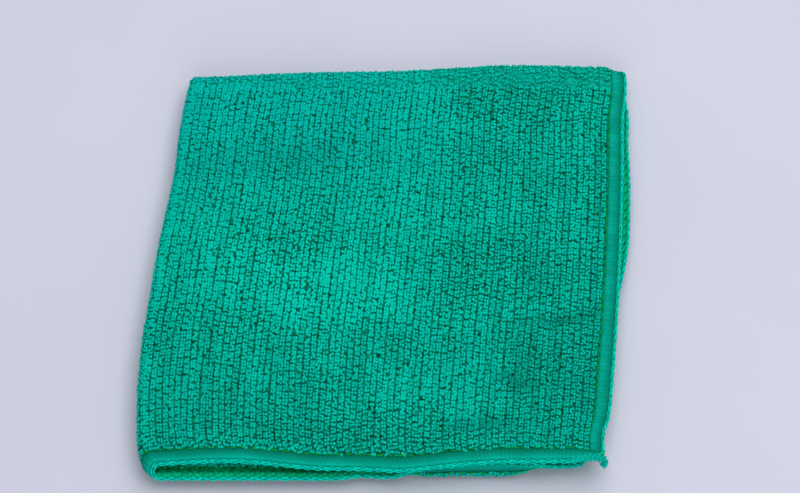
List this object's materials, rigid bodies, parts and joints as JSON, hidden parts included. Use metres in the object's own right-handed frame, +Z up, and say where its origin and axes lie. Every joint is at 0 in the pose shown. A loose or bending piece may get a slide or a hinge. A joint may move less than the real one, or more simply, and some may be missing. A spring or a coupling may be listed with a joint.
{
  "type": "golf towel",
  "caption": "Terry cloth towel with overlocked hems, folded twice into a flat square pad, whose upper half opens over its back fold.",
  "frame": {"origin": "centre of the bounding box, on the face that the folded towel rests on", "axes": "+Z up through the four layers, +Y towards the back fold, +X towards the side hem"},
  "size_m": [0.1636, 0.158, 0.0105],
  "materials": {
    "terry_cloth": "matte looped pile",
    "looper_thread": "soft sheen, textured overlock thread",
    "needle_thread": "soft sheen, fine sewing thread"
  },
  "bodies": {
    "lower_half": {"third_layer": "terry_cloth", "bottom_layer": "terry_cloth", "side_fold_lower": "terry_cloth", "outer_back_fold_lower": "terry_cloth", "inner_back_fold_lower": "terry_cloth", "front_hem_lower_needle_thread": "needle_thread", "front_hem_lower_face_looper": "looper_thread", "front_hem_lower_back_looper": "looper_thread", "side_hem_third_needle_thread": "needle_thread", "side_hem_third_face_looper": "looper_thread", "side_hem_third_back_looper": "looper_thread", "side_hem_bottom_needle_thread": "needle_thread", "side_hem_bottom_face_looper": "looper_thread", "side_hem_bottom_back_looper": "looper_thread"},
    "upper_half": {"top_layer": "terry_cloth", "second_layer": "terry_cloth", "side_fold_upper": "terry_cloth", "outer_back_fold_upper": "terry_cloth", "inner_back_fold_upper": "terry_cloth", "front_hem_upper_needle_thread": "needle_thread", "front_hem_upper_face_looper": "looper_thread", "front_hem_upper_back_looper": "looper_thread", "side_hem_top_needle_thread": "needle_thread", "side_hem_top_face_looper": "looper_thread", "side_hem_top_back_looper": "looper_thread", "side_hem_second_needle_thread": "needle_thread", "side_hem_second_face_looper": "looper_thread", "side_hem_second_back_looper": "looper_thread", "corner_thread_tail_top": "looper_thread", "corner_thread_tail_second": "looper_thread"}
  },
  "joints": [
    {"name": "back_fold", "type": "hinge", "parent": "lower_half", "child": "upper_half", "pos_m": [0, 0.079, 0.00525], "axis": [-1, 0, 0], "range_deg": [0, 180]}
  ]
}
